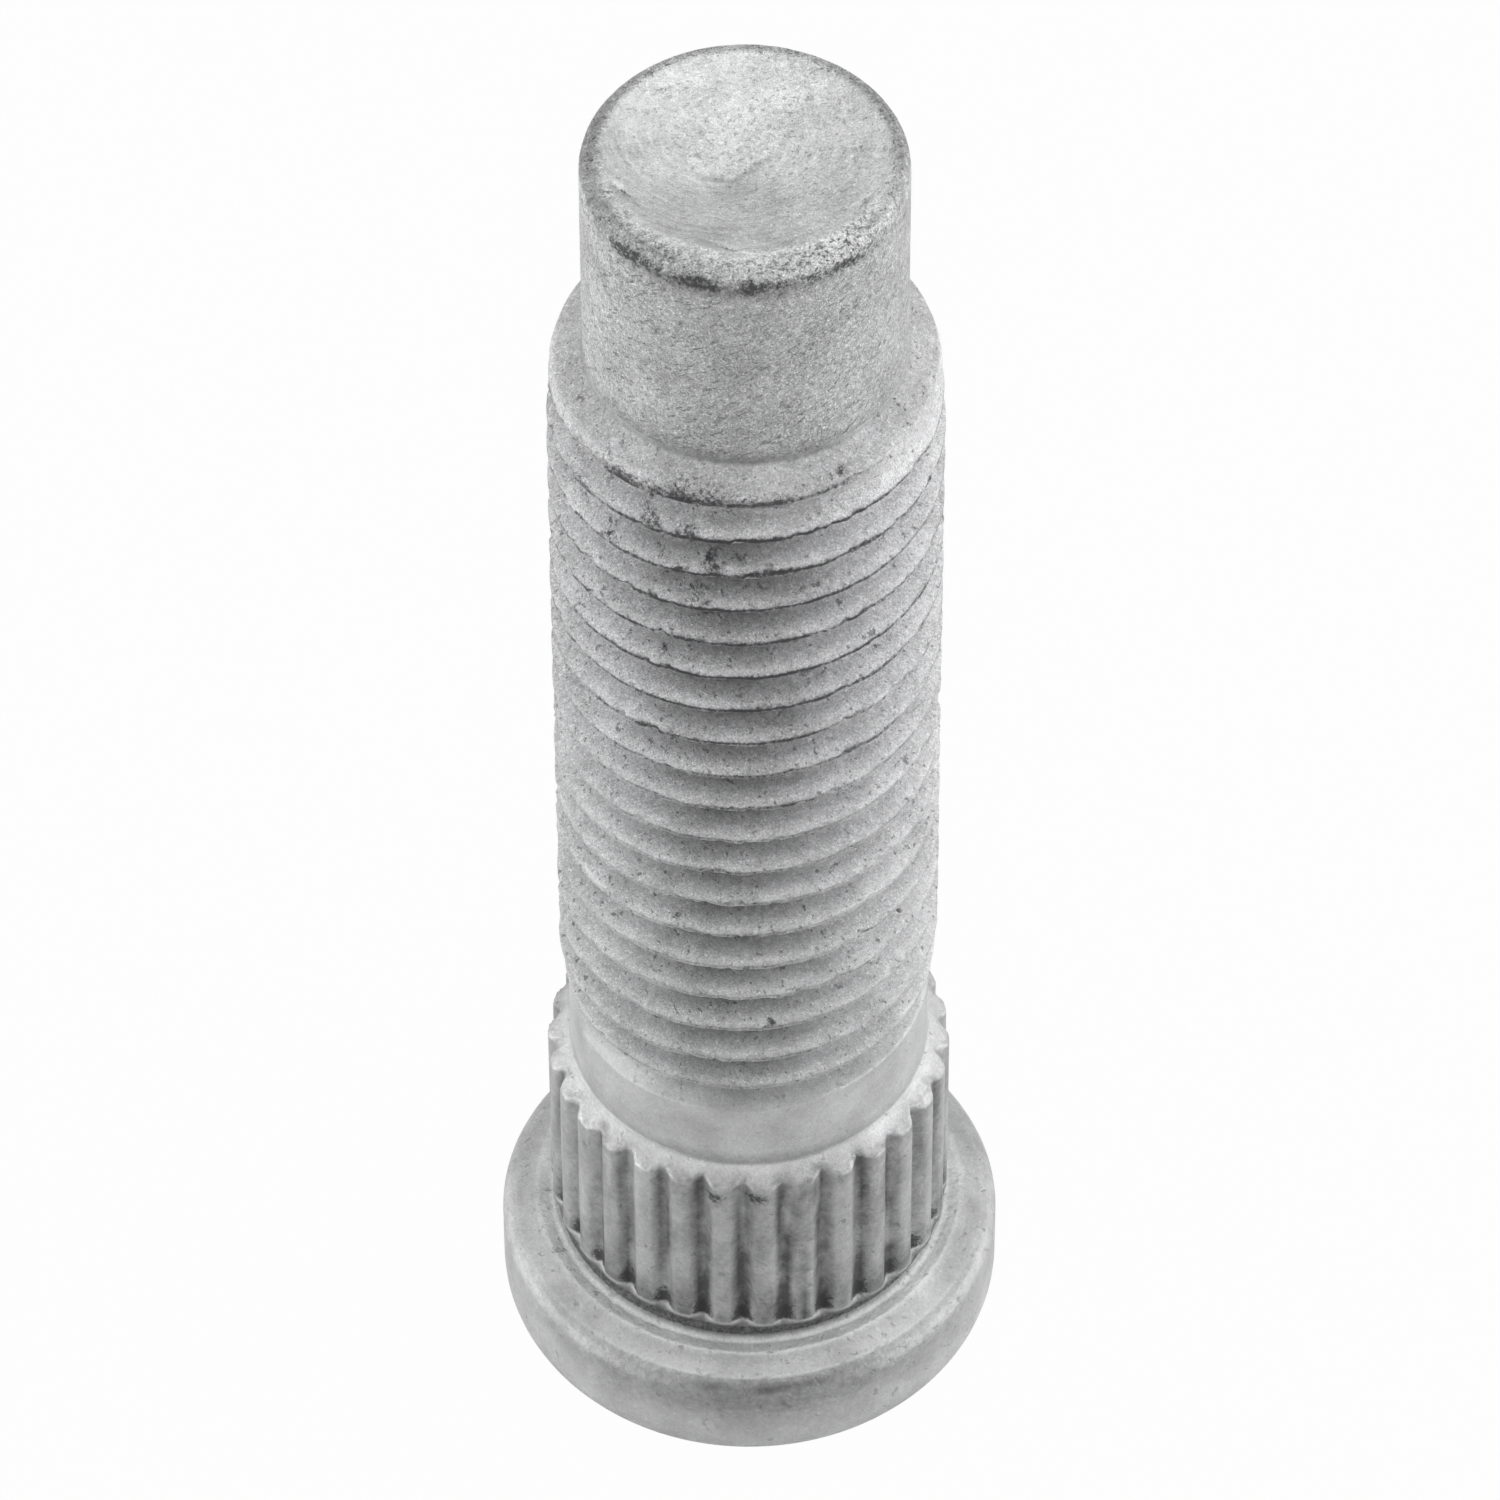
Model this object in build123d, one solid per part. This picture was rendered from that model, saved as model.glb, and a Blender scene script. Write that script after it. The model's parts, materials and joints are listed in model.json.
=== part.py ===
from build123d import *

import os
from math import radians, tan

# Wheel stud, all sizes in millimetres. It stands on its head, with its axis on Z.

# Threaded length, modelled to the crests of its M12 x 1.5 thread: a run-out below, a slight taper above
thread_diameter = 11.90
thread_length = 23.68
runout_length = 2.57
lead_length = 2.17
lead_drop = 0.12

# Rim above the thread, and the shoulder that slopes in to the pilot nose
rim_height = 0.32
rim_drop = 0.11
shoulder_height = 0.48
shoulder_step = 0.90

# Plain pilot nose above the shoulder, with a dished end
pilot_length = 7.85
pilot_rounding = 0.47
dish_depth = 0.50

# Plain shank below the thread
shank_relief = 0.29
shank_length = 2.55

# Serrated neck below the shank
neck_rise = 0.72
neck_length = 7.64
neck_lead = 0.61
serration_count = 30
serration_start = 4
serration_depth = 0.33
serration_angle = 95
serration_ramp = 45

# Undercut below the serrations, with a sloping root that keeps the seat clear of them
undercut_depth = 0.18
undercut_height = 0.60
undercut_lead = 0.12
root_width = 0.22
root_height = 0.14

# Head below the neck: a flat seat, a sloping apron around it and a crowned bevel
head_height = 4.40
foot_rounding = 1.40
seat_width = 0.42
apron_width = 0.71
apron_drop = 0.38
bevel_width = 0.42
bevel_height = 0.52
bevel_crown = 0.05

# Room that a cutter keeps past the surface that it cuts
cutter_margin = 0.08

# Radii worked out from the sizes above
thread_r = thread_diameter / 2
lead_r = thread_r - lead_drop
rim_r = lead_r - rim_drop
pilot_r = rim_r - shoulder_step
lip_r = pilot_r - pilot_rounding
shank_r = thread_r - shank_relief
neck_r = shank_r + neck_rise
undercut_r = neck_r - undercut_depth
root_r = undercut_r + root_width
seat_r = root_r + seat_width
apron_r = seat_r + apron_width
head_r = apron_r + bevel_width
foot_r = head_r - foot_rounding

# Heights, stacked up from the head's outer face
apron_z = head_height - apron_drop
bevel_base = apron_z - bevel_height
root_top = head_height + root_height
undercut_top = head_height + undercut_height
neck_top = head_height + neck_length
shank_base = neck_top + neck_lead
shank_top = shank_base + shank_length
thread_base = shank_top + runout_length
thread_top = thread_base + thread_length
lead_top = thread_top + lead_length
rim_top = lead_top + rim_height
pilot_base = rim_top + shoulder_height
nose_z = pilot_base + pilot_length


def head_outline():
    """The outer face, the rounded side, the crowned bevel, the apron and the flat seat."""
    bevel_middle = (apron_r + bevel_width / 2 + bevel_crown, bevel_base + bevel_height / 2 + bevel_crown)
    return [
        Line((0, 0), (foot_r, 0)),
        CenterArc((foot_r, foot_rounding), foot_rounding, -90, 90),
        Line((head_r, foot_rounding), (head_r, bevel_base)),
        ThreePointArc((head_r, bevel_base), bevel_middle, (apron_r, apron_z)),
        Polyline((apron_r, apron_z), (seat_r, head_height), (root_r, head_height)),
    ]


def undercut_outline():
    """The root beside the seat, the undercut that the serrations run out into, and the neck."""
    corners = [
        (root_r, head_height),
        (undercut_r, root_top),
        (undercut_r, undercut_top),
        (neck_r, undercut_top + undercut_lead),
        (neck_r, neck_top),
    ]
    return [Polyline(*corners)]


def shaft_outline():
    """The neck's chamfer, the shank, the thread's crests and the shoulder, as straight turned steps."""
    corners = [
        (neck_r, neck_top),
        (shank_r, shank_base),
        (shank_r, shank_top),
        (thread_r, thread_base),
        (thread_r, thread_top),
        (lead_r, lead_top),
        (rim_r, rim_top),
        (pilot_r, pilot_base),
        (pilot_r, nose_z - pilot_rounding),
    ]
    return [Polyline(*corners)]


def nose_outline():
    """The rounded edge of the pilot nose, its dished end, and the axis back to the head."""
    dish = TangentArc((0, nose_z - dish_depth), (lip_r, nose_z), tangent=(1, 0))
    return [
        CenterArc((lip_r, nose_z - pilot_rounding), pilot_rounding, 0, 90),
        dish,
        Line((0, nose_z - dish_depth), (0, 0)),
    ]


def turned_blank():
    """The stud before its serrations, as one revolved section."""
    outline = head_outline() + undercut_outline() + shaft_outline() + nose_outline()
    section = make_face(Curve() + outline)
    return revolve(Plane.XZ * section, Axis.Z)


def serration_cutter():
    """One V-shaped valley along the neck. It ends in a ramp above the undercut."""
    valley_r = neck_r - serration_depth
    inner_r = valley_r - cutter_margin
    outer_r = neck_r + cutter_margin
    half_width = (outer_r - valley_r) * tan(radians(serration_angle / 2))
    ramp_slope = tan(radians(serration_ramp))
    top_z = shank_base + cutter_margin
    valley = Polyline((valley_r, 0), (outer_r, -half_width), (outer_r, half_width), close=True)
    side = Polyline(
        (outer_r, undercut_top - cutter_margin * ramp_slope),
        (outer_r, top_z),
        (inner_r, top_z),
        (inner_r, undercut_top + (neck_r - inner_r) * ramp_slope),
        close=True,
    )
    prism = extrude(make_face(valley), amount=top_z)
    return prism & extrude(Plane.XZ * make_face(side), amount=2 * half_width, both=True)


def cut_serrations(stud):
    """Cuts the ring of valleys that leaves the serrations standing on the neck."""
    valley = serration_cutter()
    step = 360 / serration_count
    return stud - [Rot(0, 0, serration_start + n * step) * valley for n in range(serration_count)]


def wheel_stud():
    """The whole stud, forged and serrated as one piece."""
    return cut_serrations(turned_blank())


os.makedirs("parts", exist_ok=True)
export_step(wheel_stud(), "parts/wheel_stud.step")
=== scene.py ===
"""A coated steel wheel stud on its head: its rolled thread, serrated neck, dished nose and finish."""

import json
import math

import bpy
import numpy as np
from bpy.props import FloatProperty, FloatVectorProperty, IntProperty, PointerProperty
from mathutils import Matrix, Vector, noise


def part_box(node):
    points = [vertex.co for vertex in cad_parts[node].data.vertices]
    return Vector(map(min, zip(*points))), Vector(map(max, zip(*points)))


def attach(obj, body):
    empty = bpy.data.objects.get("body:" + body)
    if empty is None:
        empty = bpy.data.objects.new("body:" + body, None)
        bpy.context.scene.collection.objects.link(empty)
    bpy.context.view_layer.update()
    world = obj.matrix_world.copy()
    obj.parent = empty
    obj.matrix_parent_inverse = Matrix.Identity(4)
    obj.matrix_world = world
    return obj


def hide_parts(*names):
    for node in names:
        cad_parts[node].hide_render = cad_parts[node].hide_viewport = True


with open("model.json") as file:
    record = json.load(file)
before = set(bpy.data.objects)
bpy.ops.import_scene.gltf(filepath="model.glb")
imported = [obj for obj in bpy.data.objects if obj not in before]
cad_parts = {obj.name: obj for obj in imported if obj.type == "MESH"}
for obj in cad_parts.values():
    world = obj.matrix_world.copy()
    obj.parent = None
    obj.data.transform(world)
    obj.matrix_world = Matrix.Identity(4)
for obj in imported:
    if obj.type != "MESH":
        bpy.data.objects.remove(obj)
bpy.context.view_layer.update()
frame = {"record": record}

bl_info = {
    "name": "Coated wheel stud",
    "version": (1, 0, 0),
    "blender": (4, 5, 0),
    "location": "3D View > Sidebar > Stud",
    "description": "Builds the visual model of a press-in wheel stud and a plain stage for it",
    "category": "Mesh",
}

MM = 0.001
NODE = "wheel_stud"

# Degrees from the X axis to the side that faces the camera
FRONT = -90

# The coating on each zone. Specks, scratches and bright flecks, whose lighter colour is partly a painted
# glint: strength, size in millimetres, stretch, twist, level
ZONE_COATS = {
    "nose": {
        "grain_size": 0.65,
        "plain_contrast": 4.5,
        "pale_contrast": 4.5,
        "grain_depth": 0.036,
        "lump_depth": 0.05,
        "plain_relief": 1.0,
        "specks": (0.42, 0.17, 0.75, -240, 0.63),
        "scratches": (0.6, 0.2, 0.65, -300, 0.672),
        "flecks": (0.4, 0.14, 0.9, 120, 0.63),
    },
    "thread": {
        "grain_size": 0.6,
        "plain_contrast": 1.0,
        "pale_contrast": 3.2,
        "grain_depth": 0.035,
        "lump_depth": 0.035,
        "plain_relief": 0.3,
        "specks": (0.5, 0.18, 0.8, 60, 0.655),
        "scratches": (0.6, 0.3, 0.9, 40, 0.67),
        "flecks": (0.4, 0.13, 0.9, 30, 0.64),
    },
    "head": {
        "grain_size": 0.9,
        "plain_contrast": 0.9,
        "pale_contrast": 0.9,
        "grain_depth": 0.012,
        "lump_depth": 0.04,
        "plain_relief": 1.0,
        "specks": (0.2, 0.26, 0.6, 90, 0.66),
        "scratches": (0.3, 0.4, 0.8, 30, 0.67),
        "flecks": (0.1, 0.15, 0.5, 120, 0.68),
    },
}
ZONES = tuple(ZONE_COATS)

# Specks of the crumbling edge, given in the same way
CRUMBS = (0.9, 0.13, 1.0, 0, 0.57)

# A mask's ragged edge: where it begins, where it is full, how torn it is, and the tears' size in millimetres
RAGGED_EDGES = {
    "dirt": (0.28, 0.68, 2.2, 0.14),
    "film": (0.0, 1.0, 0.8, 0.25),
    "rubbed": (0.05, 0.95, 0.5, 0.2),
}

# Softboxes: the setting that holds their power, and their place, width and height in metres
SOFTBOXES = {
    "softbox_top": ("top_light", (0.04, 0.02, 0.55), 0.50, 0.58),
    "softbox_left": ("left_light", (-0.20, -0.03, 0.016), 0.36, 0.03),
    "softbox_right": ("right_light", (0.20, -0.03, 0.016), 0.36, 0.03),
}

mounts = {mount["name"]: mount for mount in frame["record"]["mounts"]}


def length(name, description, millimetres):
    """A size given in millimetres and kept in Blender's metres."""
    return FloatProperty(
        name=name, description=description, default=millimetres * MM, unit="LENGTH", precision=5
    )


def share(name, description, value):
    """A plain number."""
    return FloatProperty(name=name, description=description, default=value, precision=3)


def colour(name, description, value):
    """A colour as linear red, green and blue."""
    return FloatVectorProperty(
        name=name, description=description, default=value, subtype="COLOR", size=3, min=0, max=1
    )


class StudSizes(bpy.types.PropertyGroup):
    """Sizes of the stud. The radii and heights of its fits come from the frame."""

    thread_pitch: length("Thread pitch", "Height of one turn of the thread", 1.5)
    thread_depth: length("Thread depth", "From the crests down to the roots", 0.92)
    crest_width: length("Crest width", "Flat left on each crest", 0.19)
    seam_depth: length("Seam depth", "Furrow that rolling leaves along each crest", 0.035)
    crest_rounding: length("Crest rounding", "How far the crests fall at their edges", 0.015)
    groove_rise: length("Groove rise", "From the full crests up to where the groove ends", 1.85)
    lead_length: length("Lead", "Slight taper above the full crests", 2.17)
    lead_drop: length("Lead drop", "How far that taper comes in", 0.12)
    rim_height: length("Rim height", "Bevel between the taper and the shoulder", 0.32)
    rim_drop: length("Rim drop", "How far that bevel comes in", 0.11)
    runout_length: length("Run-out", "Where the thread rises out of the shank", 2.57)
    shank_length: length("Shank length", "Plain shank between the run-out and the neck", 2.55)
    shank_relief: length("Shank relief", "How far the shank lies below the crests", 0.29)
    tooth_count: IntProperty(name="Teeth", description="Serrations around the neck", default=30)
    tooth_start: share("Tooth start", "Degrees from the X axis to the first valley", 4)
    tooth_depth: length("Tooth depth", "Depth of the valleys between the teeth", 0.33)
    valley_width: length("Valley width", "Width of a valley at the tops of its teeth", 0.72)
    undercut_depth: length("Undercut depth", "Depth of the undercut between the teeth and the head", 0.18)
    undercut_height: length("Undercut height", "Height of that undercut above the seat", 0.60)
    undercut_lead: length("Undercut lead", "Height of the slope from the undercut out to the teeth", 0.12)
    tooth_tilt: length("Tooth tilt", "How much higher the valleys end on the left than on the right", 0.44)
    dish_depth: length("Dish depth", "Depth of the dished end", 0.50)
    dish_land: length("Dish land", "Rough land between the dish and the front edge", 0.60)
    land_fall: length("Land fall", "How far the land falls towards the edge", 0.05)
    tongue_step: length("Tongue step", "How far the dish lies below its flattened tongue", 0.05)
    nose_rounding: length("Nose rounding", "Rounding of the nose's edge", 0.47)
    nose_fillet: length("Nose fillet", "Height of the fillet at the foot of the nose", 0.12)
    foot_rounding: length("Foot rounding", "Rounding under the head", 1.40)
    root_width: length("Root width", "Width of the slope between the seat and the undercut", 0.22)
    root_height: length("Root height", "Height of that slope", 0.14)
    seat_width: length("Seat width", "Width of the flat seat", 0.42)
    apron_width: length("Apron width", "Width of the slope around the seat", 0.71)
    apron_drop: length("Apron drop", "How far that slope falls", 0.38)
    apron_sag: length("Apron sag", "How far that slope is hollowed", 0.045)
    bevel_height: length("Bevel height", "Height of the bevel around the apron", 0.52)
    bevel_crown: length("Bevel crown", "How far the bevel bulges", 0.05)


class StudWear(bpy.types.PropertyGroup):
    """How deep the stud is worn."""

    waves: length("Waves", "Slow unevenness of the whole side", 0.006)
    chips: length("Chips", "Chips in the thread's crests", 0.2)
    dulling: length("Dulling", "Wear along those crests", 0.012)
    wander: length("Wander", "How far those crests stray up and down", 0.06)
    rim_chips: length("Rim chips", "Chips in the rim above the thread", 0.05)
    coarse_crumbs: length("Coarse crumbs", "Larger crumbs lost from the nose's edge", 0.06)
    fine_crumbs: length("Fine crumbs", "Smaller crumbs lost from it", 0.05)
    ripple: length("Ripple", "Fine ripple of the dish", 0.010)
    swell: length("Swell", "Slow swell of the dish", 0.02)


class StudFinish(bpy.types.PropertyGroup):
    """Colours, tones and relief of the coating."""

    thread_coat: colour("Thread coat", "Matte metal-flake coating on the thread", (0.74, 0.74, 0.75))
    plain_coat: colour("Plain coat", "The same coating on turned surfaces", (0.575, 0.582, 0.578))
    # Colour of grime and of the painted shade in the deepest recesses: the teeth's pockets, the undercut and
    # under the crests
    dirt: colour("Dirt", "Oil and dirt in recesses", (0.085, 0.085, 0.088))
    # Colour of the painted shade in roots, under edges and on the side that faces the front, and of a thin
    # grey layer of oil and dust
    film: colour("Film", "Thin grey film of oil and dust", (0.12, 0.12, 0.122))
    # Colour of coating worn bright and of painted highlights
    rubbed: colour("Rubbed", "Coating polished on edges", (0.80, 0.80, 0.81))
    roughness: share("Roughness", "Roughness of the coating", 0.5)
    metal: share("Metal", "How metallic the coating is", 0.35)
    shine: share("Shine", "Level of the shine over the coating", 0.3)
    edge_tint: share("Edge tint", "How bright the shine stays where the surface turns away", 0.35)
    flake_size: length("Flake size", "Size of the coating's grain", 0.09)
    grain_shine: share("Grain shine", "How much the grain changes the roughness", 0.2)
    dirt_cover: share("Dirt cover", "How far dirt hides the coating", 0.92)
    dirt_dullness: share("Dirt dullness", "Roughness that dirt adds", 0.2)
    dish_metal: share("Dish metal", "Metal that shows in the dish", 0.06)
    dish_contrast: share("Dish contrast", "Share of the grain's contrast left in the dish", 0.4)
    dish_relief: share("Dish relief", "Share of the grain's relief left in the dish", 0.3)
    streak_tone: share("Streak tone", "How light and dark the dish's tool marks are", 0.62)
    mottle_tone: share("Mottle tone", "How light and dark the wide patches are", 0.7)
    mark_depth: share("Mark depth", "Depth of dark specks, in millimetres", 0.06)
    fleck_height: share("Fleck height", "Height of bright flecks, in millimetres", 0.05)
    streak_depth: share("Streak depth", "Depth of the tool marks, in millimetres", 0.013)


class StageSettings(bpy.types.PropertyGroup):
    """Floor, lamps and camera."""

    floor_colour: colour("Floor colour", "Plain pale floor", (0.45, 0.45, 0.45))
    floor_size: length("Floor size", "Side of the square floor", 3000)
    floor_white: share("Floor white", "How far the floor shows as plain white", 0.98)
    fill: share("Fill", "Light from all around", 0.12)
    top_light: share("Top light", "Power of the softbox overhead, in watts", 2.3)
    left_light: share("Left light", "Power of the softbox on the left, in watts", 0.342)
    right_light: share("Right light", "Power of the softbox on the right, in watts", 0.3672)
    lens: length("Lens", "Focal length for a 36 mm sensor", 253.73)
    camera_back: length("Camera back", "Distance in front of the stud's axis", 211.55)
    camera_height: length("Camera height", "Height above the floor", 272.75)
    camera_pitch: share("Camera pitch", "Degrees below level", 49.397)
    camera_roll: share("Camera roll", "Degrees", -0.2516)
    camera_shift: share("Camera shift", "Sideways shift, as a share of the frame", 0.0018)


def rise(low, high, value):
    """0 below low, 1 above high, with a smooth rise between them."""
    x = np.clip((value - low) / (high - low), 0, 1)
    return x * x * (3 - 2 * x)


def fall(low, high, value):
    """1 below low, 0 above high, with a smooth fall between them."""
    return 1 - rise(low, high, value)


def hump(middle, width, value):
    """1 at the middle, falling smoothly to nearly 0 at two widths from it."""
    return np.exp(-(((value - middle) / width) ** 2))


def plateau(start, full, falling, end, value):
    """0 up to the start, 1 from full to falling, and 0 again from the end."""
    return rise(start, full, value) * fall(falling, end, value)


def strongest(**places):
    """The strongest of several places' masks at each point, held from 0 to 1."""
    return np.clip(np.maximum.reduce(list(places.values())), 0, 1)


class StudForm:
    """The stud's form in millimetres: radii over angle and height, and heights over the dished end."""

    # Nicks and oily marks on the side: degrees from the front, height, size and depth
    nicks = (
        (-44, 34.75, 0.16, 0.07),
        (-26, 36.45, 0.15, 0.08),
        (20, 35.25, 0.22, 0.06),
        (18, 28.25, 0.19, 0.10),
        (25, 29.55, 0.16, 0.06),
        (-25, 30.85, 0.16, 0.07),
        (7, 19.75, 0.17, 0.06),
        (25, 23.05, 0.16, 0.04),
        (58, 21.75, 0.15, 0.06),
        (-57, 25.05, 0.15, 0.05),
        (-18, 41.25, 0.17, 0.07),
        (30, 44.02, 0.17, 0.10),
        (2, 11.64, 0.40, 0.08),
        (-10, 11.64, 0.36, 0.06),
    )

    # Gouges in the dished end: middle to the right and back, half length, half width, turn and depth
    gouges = (
        (-3.55, -1.2, 0.50, 0.13, -42, 0.09),
        (-0.60, -3.47, 0.55, 0.09, -32, 0.07),
        (2.25, 3.62, 0.45, 0.09, -28, 0.06),
        (3.45, -1.75, 0.35, 0.10, 55, 0.06),
        (-2.3, 2.9, 0.30, 0.07, 20, 0.04),
    )

    def __init__(self, sizes):
        for name in StudSizes.__annotations__:
            setattr(self, name, getattr(sizes, name) / MM)
        self.tooth_count = sizes.tooth_count
        self.tooth_start = sizes.tooth_start
        self.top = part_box(NODE)[1].z / MM
        self.head_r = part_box(NODE)[1].x / MM
        self.thread_r, self.thread_base, self.thread_top = self.fit("thread")
        self.nose_r, self.nose_base, self.nose_side_top = self.fit("pilot")
        self.neck_r, self.tooth_base, self.neck_top = self.fit("neck")
        self.seat_z = mounts["seat"]["pos_m"][2] / MM
        self.lip_r = self.nose_r - self.nose_rounding
        self.shank_r = self.thread_r - self.shank_relief
        self.shank_top = self.thread_base - self.runout_length
        self.shank_base = self.shank_top - self.shank_length
        self.lead_top = self.thread_top + self.lead_length
        self.rim_top = self.lead_top + self.rim_height
        self.rim_r = self.thread_r - self.lead_drop - self.rim_drop
        self.undercut_r = self.neck_r - self.undercut_depth
        self.undercut_top = self.seat_z + self.undercut_height
        self.root_r = self.undercut_r + self.root_width
        self.seat_r = self.root_r + self.seat_width
        self.apron_r = self.seat_r + self.apron_width
        self.apron_z = self.seat_z - self.apron_drop
        self.bevel_base = self.apron_z - self.bevel_height
        self.angles = np.radians(self.column_degrees())

    def fit(self, name):
        """Radius, lower end and upper end of one of the frame's round fits."""
        mount = mounts[name]
        middle = mount["pos_m"][2] / MM
        half = mount["dims"]["length_mm"] / 2
        return mount["dims"]["r_mm"], middle - half, middle + half

    def column_degrees(self):
        """Angles of the mesh's columns, gathered where a valley's sides and a tooth's edges are."""
        step = 360 / self.tooth_count
        half_valley = math.degrees(self.valley_width / 2 / self.neck_r)
        inner = 0.4 * half_valley
        edge = 0.15 * half_valley
        half = [0, inner, half_valley - edge, half_valley + edge, step / 2]
        offsets = half + [step - offset for offset in half[3:0:-1]]
        return np.array([self.tooth_start + k * step + o for k in range(self.tooth_count) for o in offsets])

    def thread_phase(self, angle, z):
        """Place on the thread in pitches: 0 on a crest, plus above it and minus below it, 0.5 in a root."""
        turns = (z - self.thread_base) / self.thread_pitch - angle / math.tau - 0.5
        return turns - np.round(turns)

    def crest_radius(self, z):
        """Radius that the crests reach at a height."""
        heights = [self.shank_top, self.thread_base, self.thread_top, self.lead_top, self.rim_top]
        lead_r = self.thread_r - self.lead_drop
        return np.interp(z, heights, [self.shank_r, self.thread_r, self.thread_r, lead_r, self.rim_r])

    def thread_radius(self, angle, z):
        """Radius of the rolled thread, with a seam along its crests, a run-out and a start."""
        phase = self.thread_phase(angle, z)
        off_crest = np.abs(phase)
        crest_half = self.crest_width / 2 / self.thread_pitch
        root_edge = crest_half + self.thread_depth * math.tan(math.radians(30)) / self.thread_pitch
        flank = np.clip((off_crest - crest_half) / (root_edge - crest_half), 0, 1)
        rounding = self.crest_rounding * rise(0.5 * crest_half, crest_half, off_crest)
        seam = self.seam_depth * np.clip(1 - off_crest / (0.45 * crest_half), 0, 1)
        groove_z = z - self.thread_pitch * (phase - 0.5 * np.sign(phase))
        groove_end = self.thread_top + self.groove_rise
        start = fall(groove_end - 0.75, groove_end, groove_z)
        runout = rise(self.shank_top + 0.15, self.shank_top + 0.95, groove_z)
        on_thread = rise(self.shank_top, self.thread_base, z)
        depth = self.thread_depth * flank * np.minimum(start, runout)
        return self.crest_radius(z) - depth - (rounding + seam) * on_thread

    def valley(self, angle):
        """Number of the nearest valley of the neck, and the angle from its middle in valley half-widths."""
        place = (np.degrees(angle) - self.tooth_start) / (360 / self.tooth_count)
        number = np.round(place)
        off = np.abs(place - number) * math.tau / self.tooth_count * self.neck_r
        return number % self.tooth_count, off / (self.valley_width / 2)

    def tilt(self, angle, z):
        """How far the teeth's lower ends are shifted at a height: up on the left, down on the right."""
        near_ends = plateau(self.seat_z + 0.1, self.tooth_base, self.tooth_base + 0.3, self.neck_top - 2, z)
        return -self.tooth_tilt / 2 * np.cos(angle) * near_ends

    def neck_radius(self, angle, z):
        """Radius of the undercut, the serrated neck and its chamfer. No two valleys are quite alike."""
        number, off = self.valley(angle)
        uneven = 1 + 0.14 * np.sin(2.4 * number) + 0.10 * np.sin(5.1 * number + 1)
        ramp = np.clip((z - self.undercut_top) / self.tooth_depth, 0, 1)
        slope = np.clip(1 - off / (1.18 + 0.1 * uneven), 0, 1)
        depth = self.tooth_depth * (0.55 * slope + 0.45 * rise(0, 0.95, slope)) * uneven * ramp
        heights = [self.undercut_top, self.tooth_base, self.neck_top, self.shank_base]
        turned = np.interp(z, heights, [self.undercut_r, self.neck_r, self.neck_r, self.shank_r])
        return np.minimum(self.neck_r - depth, turned)

    def land_width(self, angle):
        """Width of the rough land between the dish and the nose's edge, wide at the front."""
        return 0.05 + self.dish_land * np.clip(np.cos(angle - math.radians(FRONT - 8)), 0, 1) ** 0.7

    def off_tongue(self, x, y):
        """Distance out from the edge of the tongue, which widens from the dish's middle to its back."""
        aside = x + 0.55
        uneven = 0.10 * np.sin(2.3 * x + 1) + 0.06 * np.sin(5.7 * x)
        return (0.5 * aside**2 - 0.36 + uneven - y) / np.sqrt(1 + aside**2)

    def tongue(self, x, y):
        """1 on the tongue, 0 off it. Its edge is sharp in the middle of the dish and soft at the sides."""
        soft = 0.05 + 0.25 * np.abs(x + 0.4)
        return fall(-soft, soft, self.off_tongue(x, y))

    def dish_height(self, angle, radius):
        """Height of the dished end. The dish is off centre and steeper towards the front."""
        inner = 1 - radius / self.lip_r
        x = radius * np.cos(angle)
        y = radius * np.sin(angle)
        reach = np.hypot(x + 0.5 * inner, y + 0.45 * inner) / (self.lip_r - self.land_width(angle))
        depth = self.dish_depth * (1 - np.clip(reach, 0, 1) ** 1.3)
        step = self.tongue_step * (1 - self.tongue(x, y)) * np.clip(4 * (1 - reach), 0, 1)
        return self.top - depth - step - self.land_fall * np.clip(reach - 1, 0, 1)


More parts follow.
